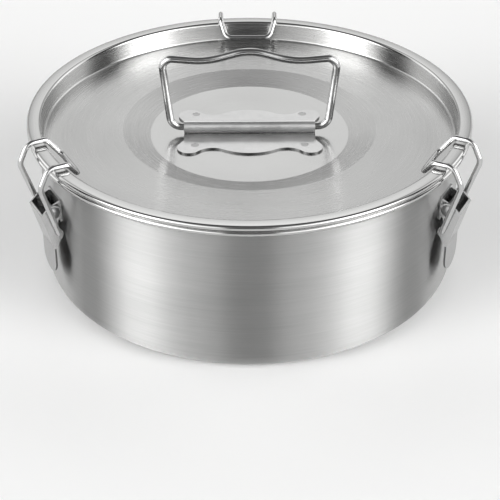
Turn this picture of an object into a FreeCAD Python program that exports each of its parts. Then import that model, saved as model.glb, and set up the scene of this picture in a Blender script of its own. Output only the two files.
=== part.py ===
import FreeCAD, Part
import math
import os

import Sketcher

# Flan mould: a round pan with a recessed lid, a folding wire handle and three draw clips.
# The origin is the centre of the pan's base, +Z is up, and the handle's hinge runs along X.
# The rear clip faces +Y and the other two stand either side of the front.

# Driving dimensions, in millimetres and degrees.
# Each row is a name, its value and what it measures.
SIZES = [
    ("RimRadius", 96.5, "outer radius of both rolled rims"),
    ("BeadRadius", 1.2, "radius of the rolled bead on pan and lid"),
    ("SheetThickness", 0.6, "sheet of pan and lid"),
    ("FlangeBend", 0.8, "bend between wall and flange, under the flange"),
    ("FlangeWidth", 4.8, "from the pan's wall out to the rim"),
    ("PanHeight", 71.0, "top of the pan's flange"),
    ("PanCorner", 8.0, "rounded bottom corner of the pan"),
    ("LidClearance", 0.2, "gap between the lid's plug wall and the pan"),
    ("RimSeat", 0.02, "gap between the two beads where the lid rests"),
    ("LidDepth", 9.2, "from the lid's flange down to its panel"),
    ("LidCorner", 1.0, "corner between plug wall and panel, seen from above"),
    ("PanelRise", 1.1, "how much the panel rises towards the ramp"),
    ("RampOuter", 55.6, "outer radius of the ramp ring"),
    ("RampInner", 43.4, "inner radius of the ramp ring, which is the disc's radius"),
    ("RampDrop", 3.1, "drop of the ramp ring down to the disc"),
    ("RampBend", 1.0, "rounding of the ramp's two bends"),
    ("StrapThickness", 0.8, "sheet of the handle strap"),
    ("StrapSeat", 0.02, "gap between strap and disc at the spot welds"),
    ("StrapOffset", -1.5, "place of the hinge line along Y"),
    ("BarrelLength", 57.2, "length of the strap's barrel"),
    ("BarrelGap", 0.05, "radial running gap of the handle wire in the barrel"),
    ("HingeHeight", 3.5, "height of the handle wire's axis above the disc"),
    ("ThroatGap", 0.1, "half gap between the strap's two sides under the barrel"),
    ("ThroatBend", 0.3, "bend at the foot of the barrel, on the open side"),
    ("RearReach", 20.3, "from hinge line to the tips of the strap's rear lobes"),
    ("FrontReach", 19.1, "from hinge line to the tips of the strap's front lobes"),
    ("PlateWidth", 62.8, "width of the strap's plates"),
    ("WaveDepth", 4.6, "depth of the wavy edge's notches"),
    ("NotchSpan", 10.2, "from each notch of the wavy edge to the corner lobe beside it"),
    ("CornerLobe", 5.2, "radius of the plates' corner lobes"),
    ("WeldRadius", 1.7, "radius of a spot weld's dimple"),
    ("WeldDepth", 0.12, "depth of a spot weld's dimple"),
    ("WeldInset", 7.7, "from the plates' side edge in to each spot weld"),
    ("FrontWeld", 12.0, "from hinge line to the front spot welds"),
    ("RearWeld", 16.2, "from hinge line to the rear spot welds"),
    ("HandleWire", 1.65, "radius of the handle's wire"),
    ("HandleFoot", 34.2, "half width of the handle at its hinge"),
    ("HandleTop", 37.7, "half width of the handle at its grip"),
    ("HandleHeight", 33.0, "from hinge line to the grip's corners"),
    ("GripDip", 1.8, "how far the grip dips below its corners"),
    ("DipPlace", 18.5, "from the middle to each dip of the grip"),
    ("GripPeak", 3.6, "how far the grip's middle rises above its corners"),
    ("FootBend", 5.0, "bend radius at the handle's feet"),
    ("GripBend", 4.2, "bend radius at the grip's corners"),
    ("DipBend", 36.0, "bend radius in the grip's dips"),
    ("PeakBend", 22.0, "bend radius at the grip's middle"),
    ("ButtGap", 0.5, "half gap between the wire's ends inside the barrel"),
    ("ClipSpread", 117.0, "angle from the rear clip to each of the others"),
    ("WallSeat", 0.04, "gap between bracket and wall at the spot welds"),
    ("PinHeight", 51.0, "height of the clip's pin above the base"),
    ("PinStandoff", 3.7, "from the pan's wall out to the pin"),
    ("PinRadius", 1.5, "radius of the pin's shank"),
    ("PinGap", 0.05, "radial running gap of the lever on the pin"),
    ("PinHead", 2.8, "radius of the pin's heads"),
    ("PinDome", 0.9, "height of the pin's domed heads"),
    ("PinSeat", 0.1, "side gap between a pin head and the lever's ear"),
    ("ClipSheet", 0.8, "sheet of bracket and lever"),
    ("EarGap", 0.15, "side gap between the lever's and the bracket's ears"),
    ("BracketAbove", 5.6, "from the pin up to the bracket's upper edge"),
    ("BracketBelow", 5.4, "from the pin down to the bracket's lower edge"),
    ("BracketEar", 2.9, "radius of the bracket's ears round the pin"),
    ("EarRelief", 1.2, "how far the ears start below and above the base's edges"),
    ("LeverWidth", 14.0, "width of the lever over its ears"),
    ("LeverTopOut", 5.6, "from the pin out to the lever's upper edge"),
    ("LeverTopDrop", 0.5, "from the pin down to the lever's upper edge"),
    ("ShoulderOut", 0.9, "from the pin out to the lever's shoulder"),
    ("ShoulderDrop", 17.5, "from the pin down to the lever's shoulder"),
    ("TongueLength", 13.8, "from the lever's shoulder to its round tip"),
    ("UpperLobe", 3.6, "radius of the lever's ears round the pin"),
    ("LowerLobe", 2.95, "radius of the ears' lower lobe"),
    ("LowerLobeOut", 0.65, "how far the pin stands out from the lower lobe's centre"),
    ("LowerLobeDrop", 10.8, "from the pin down to the lower lobe's centre"),
    ("WaistRadius", 5.5, "hollow between the two lobes"),
    ("EyeInset", 1.3, "how far the bail's hinge lies inside the pin"),
    ("EyeDrop", 10.0, "from the pin down to the bail's hinge"),
    ("BailWire", 1.2, "radius of the clip's wire"),
    ("EyeGap", 0.08, "radial running gap of the wire in the lever's ears"),
    ("LegGap", 0.25, "side gap between the wire's leg and the lever's ear"),
    ("EyeEnd", 1.0, "how far the wire's ends stand inside the ears"),
    ("EyeBend", 1.6, "bend radius of the wire at its hinge"),
    ("BailWidth", 23.8, "distance between a front bail's legs over the rim"),
    ("RearBailWidth", 26.2, "distance between the rear bail's legs over the rim"),
    ("BailLift", 0.7, "gap between the bail and the lid's flange"),
    ("ElbowOut", 5.5, "how far the bail's elbow stands out past the rim"),
    ("ElbowDrop", 6.6, "how far the bail's elbow lies under the lid's flange"),
    ("ShoulderPast", 1.5, "how far past the rim the bail turns down"),
    ("HookStart", 0.45, "from the plug wall out to the outside of the bail's turn down"),
    ("HookReach", 5.5, "from that turn in to the crossbar"),
    ("HookDrop", 5.2, "depth of the crossbar under the lid's flange"),
    ("HookNarrow", 2.6, "how far each end of the crossbar stands inside its leg"),
    ("ElbowBend", 5.0, "bend radius at the bail's elbow"),
    ("ShoulderBend", 5.0, "bend radius of the bail's turn outside the rim"),
    ("TurnBend", 2.5, "bend radius of the bail's turn inside the rim"),
    ("HookBend", 3.4, "bend radius at the crossbar's corners"),
]

SHEET_NAME = "Sizes"

# Share of a radius along and across at which arcs meet lines, from a 3, 4, 5 triangle.
ALONG = 0.8
ACROSS = 0.6

HALF_TURN = 180
REAR_AZIMUTH = 90

# Where the strap's plates narrow to the barrel, in lobe radii inside the lobes' tips.
NECK_PLACE = 2.3

document = FreeCAD.newDocument("FlanMould")


class Size:
    """A length together with the sheet expression that gives it."""

    def __init__(self, value, text):
        self.value = float(value)
        self.text = text

    def __add__(self, other):
        other = as_size(other)
        return Size(self.value + other.value, "(%s + %s)" % (self.text, other.text))

    def __sub__(self, other):
        other = as_size(other)
        return Size(self.value - other.value, "(%s - %s)" % (self.text, other.text))

    def __mul__(self, other):
        other = as_size(other)
        return Size(self.value * other.value, "(%s * %s)" % (self.text, other.text))

    def __truediv__(self, other):
        other = as_size(other)
        return Size(self.value / other.value, "(%s / %s)" % (self.text, other.text))

    def __neg__(self):
        return Size(-self.value, "(0 - %s)" % self.text)


def as_size(number):
    """A plain number as a Size."""
    if isinstance(number, Size):
        return number
    return Size(number, repr(float(number)))


def root(size):
    """Square root of a Size."""
    return Size(math.sqrt(size.value), "sqrt(%s)" % size.text)


def write_sheet():
    """Fill the sheet of driving dimensions."""
    sheet = document.addObject("Spreadsheet::Sheet", SHEET_NAME)
    for row, (name, value, meaning) in enumerate(SIZES, start=1):
        sheet.set("A%d" % row, name)
        sheet.set("B%d" % row, str(value))
        sheet.set("C%d" % row, meaning)
        sheet.setAlias("B%d" % row, name)
    document.recompute()
    return sheet


sizes = write_sheet()


def dim(name):
    """A driving dimension, read from the sheet."""
    return Size(sizes.get(name), "%s.%s" % (SHEET_NAME, name))


class Outline:
    """A closed sketch outline whose corners and radii are bound to the sheet."""

    def __init__(self, sketch, x, y):
        self.sketch = sketch
        self.start = (as_size(x), as_size(y))
        self.here = self.start
        self.parts = []

    def place(self, geometry, point, corner):
        """Bind one end of a segment to its two coordinates."""
        for kind, axis, size in (("DistanceX", -2, corner[0]), ("DistanceY", -1, corner[1])):
            if abs(size.value) < 1e-9:
                self.sketch.addConstraint(Sketcher.Constraint("PointOnObject", geometry, point, axis))
                continue
            rule = Sketcher.Constraint(kind, -1, 1, geometry, point, size.value)
            index = self.sketch.addConstraint(rule)
            self.sketch.setExpression("Constraints[%d]" % index, size.text)

    def line_to(self, x, y):
        corner = (as_size(x), as_size(y))
        start = FreeCAD.Vector(self.here[0].value, self.here[1].value, 0)
        end = FreeCAD.Vector(corner[0].value, corner[1].value, 0)
        geometry = self.sketch.addGeometry(Part.LineSegment(start, end))
        self.parts.append((geometry, 1, 2, corner))
        self.here = corner
        return self

    def arc_to(self, x, y, radius, left):
        """Arc of less than half a turn to a corner, turning left or right."""
        corner = (as_size(x), as_size(y))
        radius = as_size(radius)
        start = FreeCAD.Vector(self.here[0].value, self.here[1].value, 0)
        end = FreeCAD.Vector(corner[0].value, corner[1].value, 0)
        chord = end - start
        side = 1 if left else -1
        height = math.sqrt(max(radius.value ** 2 - (chord.Length / 2) ** 2, 0))
        across = FreeCAD.Vector(-chord.y, chord.x, 0).normalize() * side * height
        centre = (start + end) / 2 + across
        first, last = (start, end) if left else (end, start)
        angles = [math.atan2(point.y - centre.y, point.x - centre.x) for point in (first, last)]
        circle = Part.Circle(centre, FreeCAD.Vector(0, 0, 1), radius.value)
        geometry = self.sketch.addGeometry(Part.ArcOfCircle(circle, angles[0], angles[1]))
        index = self.sketch.addConstraint(Sketcher.Constraint("Radius", geometry, radius.value))
        self.sketch.setExpression("Constraints[%d]" % index, radius.text)
        ends = (1, 2) if left else (2, 1)
        self.parts.append((geometry, ends[0], ends[1], corner))
        self.here = corner
        return self

    def close(self):
        """Join the segments into a loop and bind every corner."""
        for index, (geometry, first, last, corner) in enumerate(self.parts):
            following = self.parts[(index + 1) % len(self.parts)]
            link = Sketcher.Constraint("Coincident", geometry, last, following[0], following[1])
            self.sketch.addConstraint(link)
        for geometry, first, last, corner in self.parts:
            self.place(geometry, last, corner)


def circle_in(sketch, x, y, radius):
    """A circle in a sketch, bound to the sheet."""
    x, y, radius = as_size(x), as_size(y), as_size(radius)
    centre = FreeCAD.Vector(x.value, y.value, 0)
    geometry = sketch.addGeometry(Part.Circle(centre, FreeCAD.Vector(0, 0, 1), radius.value))
    index = sketch.addConstraint(Sketcher.Constraint("Radius", geometry, radius.value))
    sketch.setExpression("Constraints[%d]" % index, radius.text)
    for kind, axis, size in (("DistanceX", -2, x), ("DistanceY", -1, y)):
        if abs(size.value) < 1e-9:
            sketch.addConstraint(Sketcher.Constraint("PointOnObject", geometry, 3, axis))
        else:
            index = sketch.addConstraint(Sketcher.Constraint(kind, -1, 1, geometry, 3, size.value))
            sketch.setExpression("Constraints[%d]" % index, size.text)


def new_body(label):
    """A body named as its piece."""
    body = document.addObject("PartDesign::Body", label)
    body.Label = label
    return body


def new_sketch(body, name, plane):
    """A sketch on one of the body's own planes."""
    sketch = body.newObject("Sketcher::SketchObject", name)
    support = [item for item in body.Origin.OriginFeatures if item.Role == plane][0]
    sketch.AttachmentSupport = [(support, "")]
    sketch.MapMode = "FlatFace"
    return sketch


def revolve(body, sketch):
    """Turn an outline once round the body's Z axis."""
    turned = body.newObject("PartDesign::Revolution", "Turned")
    turned.Profile = sketch
    axis = [item for item in body.Origin.OriginFeatures if item.Role == "Z_Axis"][0]
    turned.ReferenceAxis = (axis, [""])
    turned.Angle = 2 * HALF_TURN
    document.recompute()
    return turned


def pad(body, sketch, name, length):
    """Pad a sketch both ways by half a length."""
    feature = body.newObject("PartDesign::Pad", name)
    feature.Profile = sketch
    feature.SideType = "Symmetric"
    feature.setExpression("Length", length.text)
    document.recompute()
    return feature


def pocket(body, sketch, name, length=None, side="Symmetric"):
    """Cut a sketch both ways by half a length, to one side by the whole of it, or right through."""
    before = body.Shape.Volume
    feature = body.newObject("PartDesign::Pocket", name)
    feature.Profile = sketch
    feature.SideType = side
    if length is None:
        feature.Type = "ThroughAll"
    else:
        feature.setExpression("Length", length.text)
    document.recompute()
    if body.Shape.Volume >= before - 1e-6:
        raise RuntimeError("%s in %s cuts nothing" % (name, body.Label))
    return feature


def hollow_bead(outline, centre, top, radius, sheet):
    """The rolled bead's section: out along its inner face, round its end and back along its outer face."""
    inner = radius - sheet
    middle = top - radius
    outline.arc_to(centre + inner, middle, inner, False)
    outline.arc_to(centre, middle - inner, inner, False)
    outline.arc_to(centre - inner, middle, inner, False)
    outline.line_to(centre - radius, middle)
    outline.arc_to(centre, middle - radius, radius, True)
    outline.arc_to(centre + radius, middle, radius, True)
    outline.arc_to(centre, top, radius, True)


# Places that several pieces share

rim_radius = dim("RimRadius")
bead = dim("BeadRadius")
bead_centre = rim_radius - bead
sheet = dim("SheetThickness")
flange_bend = dim("FlangeBend")
wall_radius = rim_radius - dim("FlangeWidth")
pan_top = dim("PanHeight")
lid_top = pan_top + bead * 2 + dim("RimSeat")
plug_outer = wall_radius - sheet - dim("LidClearance")
plug_inner = plug_outer - sheet
panel_edge = lid_top - dim("LidDepth")
panel_inner = panel_edge + dim("PanelRise")
disc_top = panel_inner - dim("RampDrop")
strap_foot = disc_top + dim("StrapSeat")
hinge_y = dim("StrapOffset")
hinge_z = disc_top + dim("HingeHeight")
pin_x = wall_radius + dim("PinStandoff")
pin_z = dim("PinHeight")
eye_x = pin_x - dim("EyeInset")
eye_z = pin_z - dim("EyeDrop")


def make_pan():
    """Drawn pan with a rounded bottom corner, a narrow flange and a rolled bead."""
    corner = dim("PanCorner")
    under = pan_top - sheet
    body = new_body("pan")
    section = new_sketch(body, "PanSection", "XZ_Plane")
    outline = Outline(section, 0, 0)
    outline.line_to(wall_radius - corner, 0)
    outline.arc_to(wall_radius, corner, corner, True)
    outline.line_to(wall_radius, under - flange_bend)
    outline.arc_to(wall_radius + flange_bend, under, flange_bend, False)
    outline.line_to(bead_centre, under)
    hollow_bead(outline, bead_centre, pan_top, bead, sheet)
    outline.line_to(wall_radius + flange_bend, pan_top)
    outline.arc_to(wall_radius - sheet, under - flange_bend, flange_bend + sheet, True)
    outline.line_to(wall_radius - sheet, corner)
    outline.arc_to(wall_radius - corner, sheet, corner - sheet, False)
    outline.line_to(0, sheet)
    outline.line_to(0, 0)
    outline.close()
    revolve(body, section)
    return body


def make_lid():
    """Recessed lid: rolled bead, flat flange, plug wall, panel, ramp ring and sunken disc."""
    corner = dim("LidCorner")
    ramp_outer = dim("RampOuter")
    ramp_inner = dim("RampInner")
    under = lid_top - sheet
    panel_reach = plug_inner - corner
    body = new_body("lid")
    section = new_sketch(body, "LidSection", "XZ_Plane")
    outline = Outline(section, 0, disc_top - sheet)
    outline.line_to(ramp_inner, disc_top - sheet)
    outline.line_to(ramp_outer, panel_inner - sheet)
    outline.line_to(panel_reach, panel_edge - sheet)
    outline.arc_to(plug_outer, panel_edge + corner, corner + sheet, True)
    outline.line_to(plug_outer, under - flange_bend)
    outline.arc_to(plug_outer + flange_bend, under, flange_bend, False)
    outline.line_to(bead_centre, under)
    hollow_bead(outline, bead_centre, lid_top, bead, sheet)
    outline.line_to(plug_outer + flange_bend, lid_top)
    outline.arc_to(plug_inner, under - flange_bend, flange_bend + sheet, True)
    outline.line_to(plug_inner, panel_edge + corner)
    outline.arc_to(panel_reach, panel_edge, corner, False)
    outline.line_to(ramp_outer, panel_inner)
    outline.line_to(ramp_inner, disc_top)
    outline.line_to(0, disc_top)
    outline.line_to(0, disc_top - sheet)
    outline.close()
    turned = revolve(body, section)
    round_ramp(body, turned, (ramp_outer.value, ramp_inner.value))
    return body


def round_ramp(body, turned, radii):
    """Round the bends at the ramp's two edges, on both faces of the sheet."""
    names = []
    for index, edge in enumerate(turned.Shape.Edges, start=1):
        if isinstance(edge.Curve, Part.Circle) and abs(edge.Curve.Axis.z) > 0.99:
            if min(abs(edge.Curve.Radius - radius) for radius in radii) < 1e-4:
                names.append("Edge%d" % index)
    rounding = body.newObject("PartDesign::Fillet", "RampRounding")
    rounding.Base = (turned, names)
    rounding.setExpression("Radius", dim("RampBend").text)
    document.recompute()


def strap_section(sketch):
    """Section of the folded strap: rear plate, barrel over the wire and front plate in one sheet."""
    sheet_strap = dim("StrapThickness")
    gap = dim("ThroatGap")
    bend = dim("ThroatBend")
    reach = dim("RearReach") + sheet_strap
    inner = dim("HandleWire") + dim("BarrelGap")
    outer = inner + sheet_strap
    side = gap + sheet_strap
    foot = strap_foot
    knee = foot + sheet_strap + bend
    inner_start = hinge_z - root(inner * inner - gap * gap)
    outer_start = hinge_z - root(outer * outer - side * side)
    outline = Outline(sketch, hinge_y + reach, foot)
    outline.line_to(hinge_y + reach, foot + sheet_strap)
    outline.line_to(hinge_y + side + bend, foot + sheet_strap)
    outline.arc_to(hinge_y + side, knee, bend, False)
    outline.line_to(hinge_y + side, outer_start)
    outline.arc_to(hinge_y + outer, hinge_z, outer, True)
    outline.arc_to(hinge_y, hinge_z + outer, outer, True)
    outline.arc_to(hinge_y - outer, hinge_z, outer, True)
    outline.arc_to(hinge_y - side, outer_start, outer, True)
    outline.line_to(hinge_y - side, knee)
    outline.arc_to(hinge_y - side - bend, foot + sheet_strap, bend, False)
    outline.line_to(hinge_y - reach, foot + sheet_strap)
    outline.line_to(hinge_y - reach, foot)
    outline.line_to(hinge_y - gap - bend - sheet_strap, foot)
    outline.arc_to(hinge_y - gap, knee, bend + sheet_strap, True)
    outline.line_to(hinge_y - gap, inner_start)
    outline.arc_to(hinge_y - inner, hinge_z, inner, False)
    outline.arc_to(hinge_y, hinge_z + inner, inner, False)
    outline.arc_to(hinge_y + inner, hinge_z, inner, False)
    outline.arc_to(hinge_y + gap, inner_start, inner, False)
    outline.line_to(hinge_y + gap, knee)
    outline.arc_to(hinge_y + gap + bend + sheet_strap, foot, bend + sheet_strap, True)
    outline.line_to(hinge_y + reach, foot)
    outline.close()


def strap_plan(sketch):
    """Plan of the strap: narrow at the barrel, with a wavy edge of three lobes front and rear."""
    half = dim("PlateWidth") / 2
    wave = dim("WaveDepth")
    lobe = dim("CornerLobe")
    lobe_x = half - lobe
    neck = dim("BarrelLength") / 2
    span_lobe = dim("NotchSpan")
    notch_x = lobe_x - span_lobe
    sum_lobe = (span_lobe * span_lobe + wave * wave) / (wave * 2)
    sum_middle = (notch_x * notch_x + wave * wave) / (wave * 2)
    notch = sum_lobe - lobe
    middle = sum_middle - notch
    share_middle = middle / sum_middle
    share_lobe = lobe / sum_lobe
    middle_x = notch_x * share_middle
    middle_in = middle - (sum_middle - wave) * share_middle
    meet_x = lobe_x - span_lobe * share_lobe
    meet_in = lobe - (sum_lobe - wave) * share_lobe
    neck_in = lobe * NECK_PLACE
    margin = dim("RearReach") + dim("FrontReach")
    frame = Outline(sketch, half + lobe, hinge_y + margin)
    frame.line_to(-(half + lobe), hinge_y + margin)
    frame.line_to(-(half + lobe), hinge_y - margin)
    frame.line_to(half + lobe, hinge_y - margin)
    frame.line_to(half + lobe, hinge_y + margin)
    frame.close()
    rear = dim("RearReach")
    front = dim("FrontReach")
    edge = Outline(sketch, neck, hinge_y + rear - neck_in)
    for way, tip, next_tip in ((1, rear, front), (-1, front, rear)):
        def at(x, inside):
            return (x * way, hinge_y + (tip - inside) * way)
        edge.line_to(*at(lobe_x + lobe * ALONG, lobe + lobe * ACROSS))
        edge.arc_to(*at(lobe_x, 0), lobe, True)
        edge.arc_to(*at(meet_x, meet_in), lobe, True)
        edge.arc_to(*at(middle_x, middle_in), notch, False)
        edge.arc_to(*at(-middle_x, middle_in), middle, True)
        edge.arc_to(*at(-meet_x, meet_in), notch, False)
        edge.arc_to(*at(-lobe_x, 0), lobe, True)
        edge.arc_to(*at(-(lobe_x + lobe * ALONG), lobe + lobe * ACROSS), lobe, True)
        edge.line_to(*at(-neck, neck_in))
        edge.line_to(-neck * way, hinge_y - (next_tip - neck_in) * way)
    edge.close()


def make_strap():
    """Folded strap that holds the handle's wire, spot-welded to the lid's disc."""
    body = new_body("handle_strap")
    section = new_sketch(body, "StrapSection", "YZ_Plane")
    strap_section(section)
    pad(body, section, "Folded", dim("PlateWidth"))
    plan = new_sketch(body, "StrapPlan", "XY_Plane")
    strap_plan(plan)
    pocket(body, plan, "WavyEdge")
    welds = new_sketch(body, "WeldMarks", "XY_Plane")
    place = dim("PlateWidth") / 2 - dim("WeldInset")
    for side in (place, -place):
        circle_in(welds, side, hinge_y - dim("FrontWeld"), dim("WeldRadius"))
        circle_in(welds, side, hinge_y + dim("RearWeld"), dim("WeldRadius"))
    surface = strap_foot + dim("StrapThickness")
    welds.setExpression(".AttachmentOffset.Base.z", surface.text)
    pocket(body, welds, "WeldDimples", dim("WeldDepth"), "One side")
    return body


def vector(x, y, z):
    """A point from three Sizes or numbers."""
    return FreeCAD.Vector(*[as_size(value).value for value in (x, y, z)])


def bent_path(points, radii):
    """A wire of straight runs joined by tangent arcs, one radius for each inner point."""
    edges = []
    start = points[0]
    for index, radius in enumerate(radii, start=1):
        corner = points[index]
        back = (points[index - 1] - corner).normalize()
        ahead = (points[index + 1] - corner).normalize()
        half = back.getAngle(ahead) / 2
        cut = radius / math.tan(half)
        first = corner + back * cut
        last = corner + ahead * cut
        middle = corner + (back + ahead).normalize() * (radius / math.sin(half) - radius)
        edges.append(Part.LineSegment(start, first).toShape())
        edges.append(Part.Arc(first, middle, last).toShape())
        start = last
    edges.append(Part.LineSegment(start, points[-1]).toShape())
    return Part.Wire(edges)


def round_wire(label, points, radii, thickness):
    """A bent round wire with cut ends."""
    path = bent_path(points, radii)
    direction = points[1] - points[0]
    section = Part.Wire(Part.Circle(points[0], direction, thickness).toShape())
    solid = path.makePipeShell([section], True, True)
    expected = math.pi * thickness ** 2 * path.Length
    if abs(solid.Volume / expected - 1) > 0.01:
        raise RuntimeError("%s swept with the wrong volume" % label)
    feature = document.addObject("Part::Feature", label)
    feature.Label = label
    feature.Shape = solid
    return feature


def make_handle():
    """Wire handle: two ends in the barrel, splayed legs and a grip with two dips."""
    foot = dim("HandleFoot")
    corner_z = hinge_z + dim("HandleHeight")
    half = [
        vector(-dim("ButtGap"), hinge_y, hinge_z),
        vector(-foot, hinge_y, hinge_z),
        vector(-dim("HandleTop"), hinge_y, corner_z),
        vector(-dim("DipPlace"), hinge_y, corner_z - dim("GripDip")),
    ]
    peak = vector(0, hinge_y, corner_z + dim("GripPeak"))
    points = half + [peak] + [FreeCAD.Vector(-point.x, point.y, point.z) for point in reversed(half)]
    bends = [dim("FootBend").value, dim("GripBend").value, dim("DipBend").value]
    radii = bends + [dim("PeakBend").value] + bends[::-1]
    return round_wire("handle_bail", points, radii, dim("HandleWire").value)


def make_bracket(label):
    """Bracket: a base that fits the wall and two ears round the pin."""
    sheet_clip = dim("ClipSheet")
    ear = dim("BracketEar")
    relief = dim("EarRelief")
    width = dim("LeverWidth") - sheet_clip * 2 - dim("EarGap") * 2
    back = wall_radius - sheet_clip
    front = wall_radius + dim("WallSeat") + sheet_clip
    top = pin_z + dim("BracketAbove")
    bottom = pin_z - dim("BracketBelow")
    body = new_body(label)
    side = new_sketch(body, "BracketSide", "XZ_Plane")
    outline = Outline(side, back, bottom)
    outline.line_to(front, bottom)
    outline.line_to(front, bottom + relief)
    outline.line_to(pin_x + ear * ACROSS, pin_z - ear * ALONG)
    outline.arc_to(pin_x + ear * ACROSS, pin_z + ear * ALONG, ear, True)
    outline.line_to(front, top - relief)
    outline.line_to(front, top)
    outline.line_to(back, top)
    outline.line_to(back, bottom)
    outline.close()
    circle_in(side, pin_x, pin_z, dim("PinRadius") + dim("PinGap") / 2)
    pad(body, side, "Folded", width)
    inside = new_sketch(body, "BracketInside", "XZ_Plane")
    room = Outline(inside, front, bottom - relief)
    room.line_to(pin_x + ear * 2, bottom - relief)
    room.line_to(pin_x + ear * 2, top + relief)
    room.line_to(front, top + relief)
    room.line_to(front, bottom - relief)
    room.close()
    pocket(body, inside, "BetweenEars", width - sheet_clip * 2)
    seat = new_sketch(body, "WallSeat", "XY_Plane")
    circle_in(seat, 0, 0, wall_radius + dim("WallSeat"))
    pocket(body, seat, "CurvedBack")
    return body


def lever_side(sketch):
    """Side of the lever: plate, tongue and ears with an upper and a lower lobe."""
    upper = dim("UpperLobe")
    lower = dim("LowerLobe")
    lobe_x = pin_x - dim("LowerLobeOut")
    lobe_z = pin_z - dim("LowerLobeDrop")
    top_x = pin_x + dim("LeverTopOut")
    top_z = pin_z - dim("LeverTopDrop")
    shoulder_x = pin_x + dim("ShoulderOut")
    shoulder_z = pin_z - dim("ShoulderDrop")
    tip_z = shoulder_z - dim("TongueLength")
    inner_x = shoulder_x - dim("ClipSheet")
    outline = Outline(sketch, inner_x, shoulder_z)
    outline.line_to(inner_x, tip_z)
    outline.line_to(shoulder_x, tip_z)
    outline.line_to(shoulder_x, shoulder_z)
    outline.line_to(top_x, top_z)
    outline.line_to(pin_x + upper * ACROSS, pin_z + upper * ALONG)
    outline.arc_to(pin_x - upper * ACROSS, pin_z + upper * ALONG, upper, True)
    outline.arc_to(pin_x - upper * ACROSS, pin_z - upper * ALONG, upper, True)
    outline.arc_to(lobe_x - lower * ACROSS, lobe_z + lower * ALONG, dim("WaistRadius"), False)
    outline.arc_to(lobe_x - lower * ACROSS, lobe_z - lower * ALONG, lower, True)
    outline.line_to(inner_x, shoulder_z)
    outline.close()
    circle_in(sketch, pin_x, pin_z, dim("PinRadius") + dim("PinGap"))
    circle_in(sketch, eye_x, eye_z, dim("BailWire") + dim("EyeGap"))


def make_lever(label):
    """Lever: slanted plate with folded ears and a round-ended tongue."""
    sheet_clip = dim("ClipSheet")
    width = dim("LeverWidth")
    top_x = pin_x + dim("LeverTopOut")
    top_z = pin_z - dim("LeverTopDrop")
    shoulder_x = pin_x + dim("ShoulderOut")
    shoulder_z = pin_z - dim("ShoulderDrop")
    inner_x = shoulder_x - sheet_clip
    upper = dim("UpperLobe")
    body = new_body(label)
    side = new_sketch(body, "LeverSide", "XZ_Plane")
    lever_side(side)
    pad(body, side, "Folded", width)
    inside = new_sketch(body, "LeverInside", "XZ_Plane")
    room = Outline(inside, inner_x, shoulder_z)
    room.line_to(top_x - sheet_clip, top_z)
    room.line_to(top_x - sheet_clip, top_z + upper * 2)
    room.line_to(wall_radius - sheet_clip, top_z + upper * 2)
    room.line_to(wall_radius - sheet_clip, shoulder_z)
    room.line_to(inner_x, shoulder_z)
    room.close()
    pocket(body, inside, "BetweenEars", width - sheet_clip * 2)
    half = width / 2
    tip = shoulder_z - dim("TongueLength")
    corners = new_sketch(body, "TongueEnd", "YZ_Plane")
    for way in (1, -1):
        trim = Outline(corners, half * way, tip + half)
        trim.arc_to(0, tip, half, way < 0)
        trim.line_to(0, tip - sheet_clip)
        trim.line_to((half + sheet_clip) * way, tip - sheet_clip)
        trim.line_to((half + sheet_clip) * way, tip + half)
        trim.line_to(half * way, tip + half)
        trim.close()
    pocket(body, corners, "RoundTip")
    return body


def make_pin(label):
    """Rivet with two domed heads, turned round its own axis."""
    shank = dim("PinRadius")
    head = dim("PinHead")
    dome = dim("PinDome")
    half = dim("LeverWidth") / 2 + dim("PinSeat")
    crown = (head * head + dome * dome) / (dome * 2)
    body = new_body(label)
    section = new_sketch(body, "PinSection", "XZ_Plane")
    outline = Outline(section, 0, -(half + dome))
    outline.arc_to(head, -half, crown, True)
    outline.line_to(shank, -half)
    outline.line_to(shank, half)
    outline.line_to(head, half)
    outline.arc_to(0, half + dome, crown, True)
    outline.line_to(0, -(half + dome))
    outline.close()
    revolve(body, section)
    return body


def make_bail(label):
    """Bent wire: hinged in the lever's lower ears, up round the rim and hooked into the recess."""
    width = dim("RearBailWidth") if label.startswith("rear") else dim("BailWidth")
    wire = dim("BailWire")
    leg_foot = dim("LeverWidth") / 2 + dim("LegGap") + wire
    end = dim("LeverWidth") / 2 - dim("ClipSheet") - dim("EyeEnd")
    leg_top = width / 2
    hook = leg_top - dim("HookNarrow")
    over = lid_top + dim("BailLift") + wire
    turn_x = plug_inner + dim("HookStart") - wire
    half = [
        vector(eye_x, -end, eye_z),
        vector(eye_x, -leg_foot, eye_z),
        vector(rim_radius + dim("ElbowOut"), -leg_top, lid_top - dim("ElbowDrop")),
        vector(rim_radius + dim("ShoulderPast"), -leg_top, over),
        vector(turn_x, -leg_top, over),
        vector(turn_x - dim("HookReach"), -hook, lid_top - dim("HookDrop")),
    ]
    points = half + [FreeCAD.Vector(point.x, -point.y, point.z) for point in reversed(half)]
    names = ("EyeBend", "ElbowBend", "ShoulderBend", "TurnBend", "HookBend")
    bends = [dim(name).value for name in names]
    return round_wire(label, points, bends + bends[::-1], wire.value)


def turn_to(feature, azimuth, base=None):
    """Stand a clip's piece at its azimuth round the pan."""
    spin = FreeCAD.Rotation(FreeCAD.Vector(0, 0, 1), azimuth)
    own = base or FreeCAD.Placement()
    feature.Placement = FreeCAD.Placement(FreeCAD.Vector(), spin).multiply(own)


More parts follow.
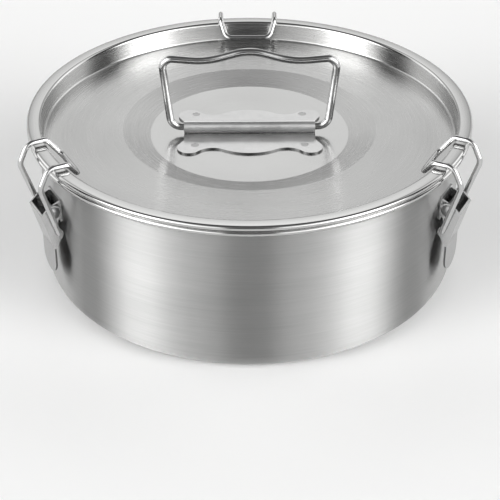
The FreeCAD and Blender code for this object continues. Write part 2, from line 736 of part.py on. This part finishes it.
def make_clips():
    """Three clips: the rear one and one either side of the front."""
    spread = dim("ClipSpread").value
    across = FreeCAD.Rotation(FreeCAD.Vector(1, 0, 0), HALF_TURN / 2)
    lying = FreeCAD.Placement(vector(pin_x, 0, pin_z), across)
    places = (("rear", 0), ("left", spread), ("right", -spread))
    pieces = []
    for side, turn in places:
        azimuth = REAR_AZIMUTH + turn
        for name, make in (("bracket", make_bracket), ("lever", make_lever), ("bail", make_bail)):
            piece = make("%s_clip_%s" % (side, name))
            turn_to(piece, azimuth)
            pieces.append(piece)
        pin = make_pin("%s_clip_pin" % side)
        turn_to(pin, azimuth, lying)
        pieces.append(pin)
    return pieces


def check_and_write(pieces):
    """Stop on any failed feature or shape, then write each piece to its own file."""
    document.recompute()
    for item in document.Objects:
        if "Invalid" in item.State or "Error" in item.State:
            raise RuntimeError("%s failed: %s" % (item.Name, item.State))
    for piece in pieces:
        if piece.Shape.isNull() or not piece.Shape.isValid():
            raise RuntimeError("%s has no valid shape" % piece.Label)
    os.makedirs("parts", exist_ok=True)
    for piece in pieces:
        piece.Shape.exportStep("parts/%s.step" % piece.Label)
        print("%s %.1f mm3, %d solids" % (piece.Label, piece.Shape.Volume, len(piece.Shape.Solids)))


check_and_write([make_pan(), make_lid(), make_strap(), make_handle()] + make_clips())
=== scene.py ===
import math

import bmesh
import bpy
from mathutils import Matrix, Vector


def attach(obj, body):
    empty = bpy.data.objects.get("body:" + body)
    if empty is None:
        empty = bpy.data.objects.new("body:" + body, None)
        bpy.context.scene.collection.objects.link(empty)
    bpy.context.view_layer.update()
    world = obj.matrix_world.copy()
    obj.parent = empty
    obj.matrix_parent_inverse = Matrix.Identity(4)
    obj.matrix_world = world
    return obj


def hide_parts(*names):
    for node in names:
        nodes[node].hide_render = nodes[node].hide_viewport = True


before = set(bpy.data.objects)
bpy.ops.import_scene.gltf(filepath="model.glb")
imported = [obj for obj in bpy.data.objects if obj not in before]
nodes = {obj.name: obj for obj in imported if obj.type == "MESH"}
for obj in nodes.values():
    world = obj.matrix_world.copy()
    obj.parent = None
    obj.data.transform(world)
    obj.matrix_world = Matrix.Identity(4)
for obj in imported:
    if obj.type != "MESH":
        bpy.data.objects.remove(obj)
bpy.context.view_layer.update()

# Flan mould in brushed and polished steel.
# Lengths are written in millimetres and turned into metres by MM, angles in degrees.
MM = 0.001

# Pan and lid, as in the CAD model
RIM_RADIUS = 96.5
BEAD_RADIUS = 1.2
SHEET = 0.6
FLANGE_BEND = 0.8
PAN_RADIUS = 91.7
PAN_HEIGHT = 71.0
PAN_CORNER = 8.0
PLUG_RADIUS = 90.9
LID_TOP = 73.42
PANEL_EDGE = 64.22
PANEL_INNER = 65.32
RAMP_OUTER = 55.6
RAMP_INNER = 43.4
DISC_TOP = 62.22
LID_CORNER = 1.0
RAMP_BEND = 1.0

# Facets of pan and lid: steps round the axis and along each kind of bend, the rings that
# divide their long flat runs, and the radius under which a point lies on the axis.
AROUND = 288
CORNER_STEPS = 20
INNER_BEAD_STEPS = 18
OUTER_BEAD_STEPS = 30
INNER_BEND_STEPS = 6
OUTER_BEND_STEPS = 8
RAMP_STEPS = 6
BASE_RINGS = (0, 30, 60)
WALL_RINGS = (24, 40, 56)
INSIDE_RING = 40
PANEL_RING = 80
DISC_RINGS = (30, 15, 0)
ON_AXIS = 1e-6

# Where the inner steel of the pan begins, and how far down the lid's rim steel reaches.
INSIDE_FROM = PAN_CORNER - 1
LID_RIM_DEPTH = 1.5

# Edges sharper than the first two stay sharp in the shading, and edges of the fittings
# sharper than BEVEL_FROM are softened, to the widths that follow.
SHELL_SHARP = 40
FITTING_SHARP = 32
BEVEL_FROM = 50
BEVEL_STEPS = 2
STRAP_EDGE = 0.12
CLIP_EDGE = 0.1

# A face looks some way if its normal has at least this share of that direction.
FACING = 0.5

# The clips: where each stands round the pan, counted from +X, and the top of the lever's tongue.
CLIP_PLACES = {"rear": 90, "left": 207, "right": -27}
TONGUE_TOP = 34.0

# The handle's strap: its hinge line's Y, the heights of the plates' tops and the barrel's
# foot, how far the sheet's throat reaches from the line, and the places, radius and least
# depth of the spot welds, which are sunk in the plates.
STRAP_LINE = -1.5
PLATE_TOP = 63.04
BARREL_FOOT = 63.6
THROAT_REACH = 4.5
WELD_SIDE = 23.7
WELD_ROWS = (-13.5, 14.7)
WELD_RADIUS = 1.75
WELD_SINK = 0.01


# Camera at the photograph's place. Its near and far limits are in metres.

CAMERA_DISTANCE = 675.5
CAMERA_ELEVATION = 33.25
CAMERA_TURN = 0.6
CAMERA_AIM = -0.135
CAMERA_LENS = 104.95
SENSOR = 36.0
CAMERA_SHIFT = 0.00088
CAMERA_NEAR = 0.01
CAMERA_FAR = 20


def make_camera():
    back = CAMERA_DISTANCE * math.cos(math.radians(CAMERA_ELEVATION))
    up = CAMERA_DISTANCE * math.sin(math.radians(CAMERA_ELEVATION))
    turn = math.radians(CAMERA_TURN)
    aim = Vector((0, 0, CAMERA_AIM * MM))
    place = Vector((-back * math.sin(turn), -back * math.cos(turn), CAMERA_AIM + up)) * MM
    data = bpy.data.cameras.new("camera")
    data.lens = CAMERA_LENS
    data.sensor_width = SENSOR
    data.shift_x = CAMERA_SHIFT
    data.clip_start = CAMERA_NEAR
    data.clip_end = CAMERA_FAR
    camera = bpy.data.objects.new("camera", data)
    camera.location = place
    camera.rotation_mode = "QUATERNION"
    camera.rotation_quaternion = (aim - place).to_track_quat("-Z", "Y")
    bpy.context.scene.collection.objects.link(camera)
    bpy.context.scene.camera = camera


# Shader helpers

def start_material(name):
    material = bpy.data.materials.new(name)
    material.use_nodes = True
    tree = material.node_tree
    shader = tree.nodes["Principled BSDF"]
    return material, tree, shader


def maths(tree, operation, first, second=None):
    """A Math node fed by sockets or numbers."""
    node = tree.nodes.new("ShaderNodeMath")
    node.operation = operation
    for index, value in enumerate((first, second)):
        if value is None:
            continue
        if isinstance(value, (int, float)):
            node.inputs[index].default_value = value
        else:
            tree.links.new(value, node.inputs[index])
    return node.outputs[0]


def weigh(tree, first, share, second):
    """A share of the first value and the rest of the second."""
    rest = maths(tree, "MULTIPLY", second, 1 - share)
    return maths(tree, "ADD", maths(tree, "MULTIPLY", first, share), rest)


def noise(tree, vector, scale, detail, rough=0.6):
    node = tree.nodes.new("ShaderNodeTexNoise")
    node.inputs["Scale"].default_value = scale
    node.inputs["Detail"].default_value = detail
    node.inputs["Roughness"].default_value = rough
    tree.links.new(vector, node.inputs["Vector"])
    return node.outputs["Fac"]


def spread(tree, value, span, low=0, high=1):
    """Map Range from a span of values to low and high, held at its ends."""
    node = tree.nodes.new("ShaderNodeMapRange")
    node.inputs["From Min"].default_value = span[0]
    node.inputs["From Max"].default_value = span[1]
    node.inputs["To Min"].default_value = low
    node.inputs["To Max"].default_value = high
    tree.links.new(value, node.inputs["Value"])
    return node.outputs["Result"]


def blend(tree, share, first, second):
    """Colour that goes from first to second as share goes from 0 to 1."""
    mix = tree.nodes.new("ShaderNodeMix")
    mix.data_type = "RGBA"
    tree.links.new(share, mix.inputs["Factor"])
    for name, value in (("A", first), ("B", second)):
        if isinstance(value, tuple):
            mix.inputs[name].default_value = value
        else:
            tree.links.new(value, mix.inputs[name])
    return mix.outputs["Result"]


def object_place(tree):
    return tree.nodes.new("ShaderNodeTexCoord").outputs["Object"]


def split_vector(tree, vector):
    split = tree.nodes.new("ShaderNodeSeparateXYZ")
    tree.links.new(vector, split.inputs[0])
    return split.outputs


# Metres: points nearer to the axis count as this far from it, which keeps the division safe.
LEAST_RADIUS = 0.001


def turned_vector(tree, around, across):
    """Coordinates that run slowly round the Z axis and fast along radius and height."""
    x, y, z = split_vector(tree, object_place(tree))
    squares = maths(tree, "ADD", maths(tree, "MULTIPLY", x, x), maths(tree, "MULTIPLY", y, y))
    radius = maths(tree, "MAXIMUM", maths(tree, "SQRT", squares), LEAST_RADIUS)
    joined = tree.nodes.new("ShaderNodeCombineXYZ")
    for index, part in enumerate((x, y)):
        share = maths(tree, "DIVIDE", part, radius)
        tree.links.new(maths(tree, "MULTIPLY", share, around), joined.inputs[index])
    height = maths(tree, "MULTIPLY", maths(tree, "ADD", z, radius), across)
    tree.links.new(height, joined.inputs[2])
    return joined.outputs[0]


# Marks of the turned steels: pace round the axis, pace across it and detail. Then the share
# of the fine streaks against the broad ones, and of the streaks against the clouds.
FINE_STREAKS = (5.0, 4200.0, 3)
BROAD_STREAKS = (1.6, 900.0, 4)
WORN_CLOUDS = (1.2, 40.0, 2)
FINE_SHARE = 0.55
STREAK_SHARE = 0.7

# Marks of the polished steels: the patches' scale and share against the grain's, and the
# detail and roughness of their noise.
PATCH_SCALE = 0.15
PATCH_DETAIL = 3
PATCH_SHARE = 0.6
GRAIN_DETAIL = 4
GRAIN_ROUGH = 0.7

# The spans of noise over which tone and roughness change, and how far the roughness goes
# down and up.
TURNED_TONE_SPAN = (0.33, 0.67)
TURNED_ROUGH_SPAN = (0.3, 0.7)
TURNED_ROUGH_REACH = (0.05, 0.05)
BRIGHT_SPAN = (0.35, 0.65)
BRIGHT_ROUGH_REACH = (0.03, 0.05)

# A quarter of a full turn, which stretches the gloss across the streaks.
GLOSS_TURN = 0.25
RELIEF_DEPTH = 0.02


def add_roughness(tree, shader, value, span, rough, reach):
    result = spread(tree, value, span, rough - reach[0], rough + reach[1])
    tree.links.new(result, shader.inputs["Roughness"])


def add_relief(tree, shader, height, strength):
    relief = tree.nodes.new("ShaderNodeBump")
    relief.inputs["Strength"].default_value = strength
    relief.inputs["Distance"].default_value = RELIEF_DEPTH * MM
    tree.links.new(height, relief.inputs["Height"])
    tree.links.new(relief.outputs[0], shader.inputs["Normal"])


def turned_steel(name, dark, light, rough, anisotropy, relief):
    """Steel brushed round the Z axis: fine streaks, a few broad ones and worn-in tone."""
    material, tree, shader = start_material(name)
    shader.inputs["Metallic"].default_value = 1
    shader.inputs["Anisotropic"].default_value = anisotropy
    shader.inputs["Anisotropic Rotation"].default_value = GLOSS_TURN
    tangent = tree.nodes.new("ShaderNodeTangent")
    tangent.direction_type = "RADIAL"
    tangent.axis = "Z"
    tree.links.new(tangent.outputs[0], shader.inputs["Tangent"])
    fine, broad, cloud = (
        noise(tree, turned_vector(tree, around, across), 1.0, detail)
        for around, across, detail in (FINE_STREAKS, BROAD_STREAKS, WORN_CLOUDS)
    )
    streaks = weigh(tree, fine, FINE_SHARE, broad)
    tone = weigh(tree, streaks, STREAK_SHARE, cloud)
    colour = blend(tree, spread(tree, tone, TURNED_TONE_SPAN), (*dark, 1), (*light, 1))
    tree.links.new(colour, shader.inputs["Base Color"])
    add_roughness(tree, shader, streaks, TURNED_ROUGH_SPAN, rough, TURNED_ROUGH_REACH)
    add_relief(tree, shader, streaks, relief)
    return material


def bright_steel(name, dark, light, rough, scale, relief):
    """Polished steel with faint drawing marks and rubbed patches, in greys from dark to light."""
    material, tree, shader = start_material(name)
    shader.inputs["Metallic"].default_value = 1
    place = object_place(tree)
    patches = noise(tree, place, scale * PATCH_SCALE, PATCH_DETAIL)
    grain = noise(tree, place, scale, GRAIN_DETAIL, GRAIN_ROUGH)
    marks = weigh(tree, patches, PATCH_SHARE, grain)
    tone = spread(tree, marks, BRIGHT_SPAN)
    colour = blend(tree, tone, (dark, dark, dark, 1), (light, light, light, 1))
    tree.links.new(colour, shader.inputs["Base Color"])
    add_roughness(tree, shader, marks, BRIGHT_SPAN, rough, BRIGHT_ROUGH_REACH)
    add_relief(tree, shader, grain, relief)
    return material


# Dark and light tone, roughness, anisotropy and relief
TURNED_STEELS = {
    "wall_steel": ((0.37, 0.37, 0.368), (0.485, 0.485, 0.482), 0.47, 1.0, 0.08),
    "panel_steel": ((0.44, 0.44, 0.437), (0.57, 0.57, 0.566), 0.25, 0.9, 0.08),
    "disc_steel": ((0.47, 0.47, 0.467), (0.53, 0.53, 0.527), 0.2, 0.6, 0.04),
    "rim_steel": ((0.46, 0.46, 0.457), (0.53, 0.53, 0.526), 0.11, 0.3, 0.02),
    "inside_steel": ((0.5, 0.5, 0.495), (0.6, 0.6, 0.595), 0.4, 0.7, 0.15),
}

# Dark and light tone, roughness, the grain's scale and relief
BRIGHT_STEELS = {
    "wire_steel": (0.5, 0.6, 0.14, 900.0, 0.03),
    "strap_steel": (0.51, 0.6, 0.2, 700.0, 0.04),
    # A much brighter copy of the strap's steel: painted light on the barrel.
    "barrel_painted_light_steel": (0.8, 0.88, 0.34, 700.0, 0.02),
    "clip_steel": (0.46, 0.56, 0.2, 700.0, 0.04),
    "weld_steel": (0.39, 0.47, 0.3, 500.0, 0.08),
    # Much darker steel: painted shade inside the levers' channels and on the tongues' and strap
    # plates' edges.
    "painted_shade_steel": (0.1, 0.2, 0.3, 500.0, 0.08),
    # Darker steel, partly the sheets' cut edges and partly painted shade, on the levers' upward
    # faces and the pins.
    "cut_and_painted_shade_steel": (0.2, 0.34, 0.34, 500.0, 0.08),
}


# Turned shells of pan and lid. A point of their sections is (radius, height).

def arc(centre, radius, start, end, steps):
    """Points on an arc in the section plane, from start to end, both included."""
    points = []
    for step in range(steps + 1):
        angle = math.radians(start + (end - start) * step / steps)
        points.append((centre[0] + radius * math.cos(angle), centre[1] + radius * math.sin(angle)))
    return points


def rolled_bead(top):
    """The bead's inner and outer face, from the flange's underside round to its top."""
    centre = (RIM_RADIUS - BEAD_RADIUS, top - BEAD_RADIUS)
    inner = arc(centre, BEAD_RADIUS - SHEET, 90, -180, INNER_BEAD_STEPS)
    outer = arc(centre, BEAD_RADIUS, -180, 90, OUTER_BEAD_STEPS)
    return inner + outer


def flange(wall_radius, top):
    """From a wall's outer face out round flange and bead and back to its inner face."""
    centre = (wall_radius + FLANGE_BEND, top - SHEET - FLANGE_BEND)
    points = arc(centre, FLANGE_BEND, 180, 90, INNER_BEND_STEPS)
    points += rolled_bead(top)
    points += arc(centre, FLANGE_BEND + SHEET, 90, 180, OUTER_BEND_STEPS)
    return points


def smooth_bend(before, corner, after):
    """Points that round a corner of the section."""
    before, corner, after = Vector(before), Vector(corner), Vector(after)
    first = (before - corner).normalized()
    last = (after - corner).normalized()
    length = RAMP_BEND / math.tan(first.angle(last) / 2)
    start = corner + first * length
    end = corner + last * length
    points = []
    for step in range(RAMP_STEPS + 1):
        share = step / RAMP_STEPS
        point = start.lerp(corner, share).lerp(corner.lerp(end, share), share)
        points.append(tuple(point))
    return points


def pan_section():
    """The pan's closed section: up its outer face, round the rim and down its inner face."""
    corner = (PAN_RADIUS - PAN_CORNER, PAN_CORNER)
    points = [(radius, 0) for radius in BASE_RINGS]
    points += arc(corner, PAN_CORNER, -90, 0, CORNER_STEPS)
    points += [(PAN_RADIUS, height) for height in WALL_RINGS]
    points += flange(PAN_RADIUS, PAN_HEIGHT)
    points += [(PAN_RADIUS - SHEET, INSIDE_RING)]
    points += arc(corner, PAN_CORNER - SHEET, 0, -90, CORNER_STEPS)
    points += [(0, SHEET)]
    return points


def lid_section():
    """The lid's closed section: out along its underside, round the rim and back on top."""
    reach = PLUG_RADIUS - SHEET - LID_CORNER
    corner = (reach, PANEL_EDGE + LID_CORNER)
    axis, inner, outer, edge = [
        (0, DISC_TOP), (RAMP_INNER, DISC_TOP), (RAMP_OUTER, PANEL_INNER), (reach, PANEL_EDGE)
    ]
    under = [(radius, height - SHEET) for radius, height in (axis, inner, outer, edge)]
    points = [under[0]]
    points += smooth_bend(*under[:3])
    points += smooth_bend(*under[1:])
    points += arc(corner, LID_CORNER + SHEET, -90, 0, OUTER_BEND_STEPS)
    points += flange(PLUG_RADIUS, LID_TOP)
    points += arc(corner, LID_CORNER, 0, -90, OUTER_BEND_STEPS)
    share = (reach - PANEL_RING) / (reach - RAMP_OUTER)
    points += [(PANEL_RING, PANEL_EDGE + share * (PANEL_INNER - PANEL_EDGE))]
    points += smooth_bend(edge, outer, inner)
    points += smooth_bend(outer, inner, axis)
    points += [(radius, DISC_TOP) for radius in DISC_RINGS]
    return points


def add_materials(data, *materials):
    """Adds materials to a mesh and gives back their indices."""
    first = len(data.materials)
    for material in materials:
        data.materials.append(material)
    return range(first, len(data.materials))


def turned_ring(mesh, radius, height):
    """Vertices round the axis, or the same one all round where the section meets it."""
    if radius < ON_AXIS:
        return [mesh.verts.new((0, 0, height * MM))] * AROUND
    ring = []
    for step in range(AROUND):
        angle = 2 * math.pi * step / AROUND
        x = radius * MM * math.cos(angle)
        y = radius * MM * math.sin(angle)
        ring.append(mesh.verts.new((x, y, height * MM)))
    return ring


def lathe(name, section, materials, choose):
    """Turns a closed section once round Z. choose picks the material's index for a face
    from its middle radius and height."""
    mesh = bmesh.new()
    rings = [turned_ring(mesh, radius, height) for radius, height in section]
    for index in range(len(rings) - 1):
        low, high = rings[index], rings[index + 1]
        middle_r = (section[index][0] + section[index + 1][0]) / 2
        middle_z = (section[index][1] + section[index + 1][1]) / 2
        choice = choose(middle_r, middle_z)
        for step in range(AROUND):
            following = (step + 1) % AROUND
            corners = [low[step], low[following], high[following], high[step]]
            face = mesh.faces.new(list(dict.fromkeys(corners)))
            face.material_index = choice
            face.smooth = True
    bmesh.ops.recalc_face_normals(mesh, faces=mesh.faces)
    data = bpy.data.meshes.new(name)
    mesh.to_mesh(data)
    mesh.free()
    data.set_sharp_from_angle(angle=math.radians(SHELL_SHARP))
    piece = bpy.data.objects.new(name, data)
    add_materials(data, *materials)
    bpy.context.scene.collection.objects.link(piece)
    return piece


def pan_choice(radius, height):
    """0 for the wall, 1 for the rim and 2 for the inside."""
    if radius > PAN_RADIUS + SHEET / 2:
        return 1
    if height > INSIDE_FROM and radius < PAN_RADIUS - SHEET / 2:
        return 2
    return 0


def lid_choice(radius, height):
    """0 for the panel and its ramp, 1 for the rim and 2 for the disc."""
    if radius < RAMP_INNER:
        return 2
    if radius < PLUG_RADIUS and height < LID_TOP - LID_RIM_DEPTH:
        return 0
    return 1


def make_shells():
    wall, panel, disc, rim, inside = (
        turned_steel(name, *recipe) for name, recipe in TURNED_STEELS.items()
    )
    pan = lathe("pan_shell", pan_section(), [wall, rim, inside], pan_choice)
    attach(pan, "mould")
    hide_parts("pan")
    lid = lathe("lid_shell", lid_section(), [panel, rim, disc], lid_choice)
    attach(lid, "mould")
    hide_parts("lid")


# Wires, sheets and rivets, carried over from the CAD model

def dress(node, material, bevel=0.0):
    """Gives a carried-over node its material, smooth shading and softened edges."""
    piece = nodes[node]
    piece.data.materials.clear()
    piece.data.materials.append(material)
    for face in piece.data.polygons:
        face.use_smooth = True
    piece.data.set_sharp_from_angle(angle=math.radians(FITTING_SHARP))
    if bevel:
        soft = piece.modifiers.new("edges", "BEVEL")
        soft.width = bevel * MM
        soft.segments = BEVEL_STEPS
        soft.limit_method = "ANGLE"
        soft.angle_limit = math.radians(BEVEL_FROM)
        soft.harden_normals = True


def shade_lever(side, inside, cut_and_shade):
    """Painted shade: much darker steel inside a lever's channel and on its tongue's edges, and on
    its upward faces darker steel that is partly the sheet's cut edge and partly painted shade.
    """
    data = nodes[side + "_clip_lever"].data
    place = math.radians(CLIP_PLACES[side])
    out = Vector((math.cos(place), math.sin(place), 0))
    along = Vector((-out.y, out.x, 0))
    # The inside steel is much darker, painted shade; the cut steel is darker, partly cut edge and
    # partly painted shade.
    painted_shade_index, cut_and_shade_index = add_materials(data, inside, cut_and_shade)
    for face in data.polygons:
        sideways = face.normal.dot(along)
        inwards = sideways * face.center.dot(along) < 0
        on_tongue = face.center.z < TONGUE_TOP * MM
        if face.normal.z > FACING:
            face.material_index = cut_and_shade_index
        elif face.normal.dot(out) < -FACING:
            face.material_index = painted_shade_index
        elif abs(sideways) > FACING and (inwards or on_tongue):
            face.material_index = painted_shade_index


def mark_strap(lit_barrel, edge, weld):
    """Brighter steel on the strap's barrel as painted light, much darker steel on the plates' cut
    edges as painted shade, and its own steel for the spot welds.
    """
    data = nodes["handle_strap"].data
    # The barrel's steel is a brighter copy, painted light; the edge steel is much darker, painted
    # shade.
    lit_barrel_index, edge_shade_index, weld_index = add_materials(data, lit_barrel, edge, weld)
    for face in data.polygons:
        x, y, z = face.center / MM
        from_weld = min(math.hypot(abs(x) - WELD_SIDE, y - row) for row in WELD_ROWS)
        if z > BARREL_FOOT:
            face.material_index = lit_barrel_index
        elif from_weld < WELD_RADIUS and z < PLATE_TOP - WELD_SINK:
            face.material_index = weld_index
        elif abs(face.normal.z) < FACING and abs(y - STRAP_LINE) > THROAT_REACH:
            face.material_index = edge_shade_index


def dress_fittings():
    wire, strap, lit_barrel, clip, weld, painted_shade, cut_and_shade = (
        bright_steel(name, *recipe) for name, recipe in BRIGHT_STEELS.items()
    )
    dress("handle_bail", wire)
    dress("handle_strap", strap, STRAP_EDGE)
    mark_strap(lit_barrel, painted_shade, weld)
    for side in CLIP_PLACES:
        dress(side + "_clip_bail", wire)
        # The pins' domes get the darker steel as painted shade.
        dress(side + "_clip_pin", cut_and_shade)
        dress(side + "_clip_bracket", clip, CLIP_EDGE)
        dress(side + "_clip_lever", clip, CLIP_EDGE)
        shade_lever(side, painted_shade, cut_and_shade)


# Studio

# Its brightness, the same to the left and to the right: degrees from the camera's side round
# to the rear, level near the horizon and level higher up. The camera's side is nearly dark.
# Two soft lamps stand front left and front right and two weaker ones rear left and rear
# right, with dark gaps between them, and a soft panel hangs high up straight behind.
STUDIO = [
    (0, 0.0, 0.34),
    (4, 0.0, 0.34),
    (11, 0.1, 0.3),
    (15, 2.0, 0.6),
    (22, 2.4, 0.8),
    (33, 2.9, 1.3),
    (42, 4.3, 2.0),
    (52, 8.4, 3.4),
    (65, 8.4, 3.4),
    (75, 3.9, 2.0),
    (82, 0.5, 0.4),
    (86, 0.0, 0.0),
    (98, 0.0, 0.0),
    (104, 1.6, 0.9),
    (112, 2.0, 1.3),
    (126, 2.0, 1.3),
    (142, 0.8, 0.7),
    (164, 0.5, 0.6),
    (173, 0.62, 1.55),
    (180, 0.62, 1.55),
]
CEILING = 0.12

# The light's blue against its red and green
BLUE_SHARE = 0.995

# Sines of the elevations between which the lower level gives way to the higher one, and
# the higher one to the dim ceiling.
HIGHER_SPAN = (0.3, 0.58)
CEILING_SPAN = (0.7, 0.84)


def level_ramp(tree, turn, column):
    """Brightness round the studio, from one column of the table."""
    ramp = tree.nodes.new("ShaderNodeValToRGB")
    ramp.color_ramp.interpolation = "EASE"
    stops = ramp.color_ramp.elements
    while len(stops) > 1:
        stops.remove(stops[-1])
    for index, row in enumerate(STUDIO):
        place, level = row[0] / 180, row[column]
        stop = stops[0] if index == 0 else stops.new(place)
        stop.position = place
        stop.color = (level, level, level * BLUE_SHARE, 1)
    tree.links.new(turn, ramp.inputs[0])
    return ramp.outputs[0]


def make_world():
    world = bpy.data.worlds.new("studio")
    bpy.context.scene.world = world
    world.use_nodes = True
    tree = world.node_tree
    way = tree.nodes.new("ShaderNodeTexCoord").outputs["Generated"]
    x, y, z = split_vector(tree, way)
    angle = maths(tree, "ARCTAN2", x, maths(tree, "MULTIPLY", y, -1))
    turn = maths(tree, "DIVIDE", maths(tree, "ABSOLUTE", angle), math.pi)
    low, high = (level_ramp(tree, turn, column) for column in (1, 2))
    sides = blend(tree, spread(tree, z, HIGHER_SPAN), low, high)
    ceiling = (CEILING, CEILING, CEILING, 1)
    sky = blend(tree, spread(tree, z, CEILING_SPAN), sides, ceiling)
    tree.links.new(sky, tree.nodes["Background"].inputs["Color"])


# Metres: the floor is flat in the middle and sweeps up a little towards its edge. It lies
# a little under the mould's base.
FLOOR_CELLS = 64
FLOOR_FLAT = 4.0
FLOOR_REACH = 10.0
FLOOR_RISE = 0.28
FLOOR_DROP = 0.0002
FLOOR_WHITE = 0.94
FLOOR_ROUGH = 0.9


def make_floor():
    mesh = bmesh.new()
    bmesh.ops.create_grid(mesh, x_segments=FLOOR_CELLS, y_segments=FLOOR_CELLS, size=FLOOR_REACH)
    for vertex in mesh.verts:
        out = max(0, vertex.co.length - FLOOR_FLAT) / (FLOOR_REACH - FLOOR_FLAT)
        vertex.co.z = FLOOR_RISE * out * out
    data = bpy.data.meshes.new("floor")
    mesh.to_mesh(data)
    mesh.free()
    data.shade_smooth()
    floor = bpy.data.objects.new("floor", data)
    floor.location.z = -FLOOR_DROP
    material, _, shader = start_material("floor_white")
    shader.inputs["Roughness"].default_value = FLOOR_ROUGH
    shader.inputs["Specular IOR Level"].default_value = 0
    shader.inputs["Base Color"].default_value = (FLOOR_WHITE, FLOOR_WHITE, FLOOR_WHITE, 1)
    data.materials.append(material)
    bpy.context.scene.collection.objects.link(floor)


make_camera()
make_shells()
dress_fittings()
make_world()
make_floor()
bpy.context.scene.view_settings.view_transform = "Standard"
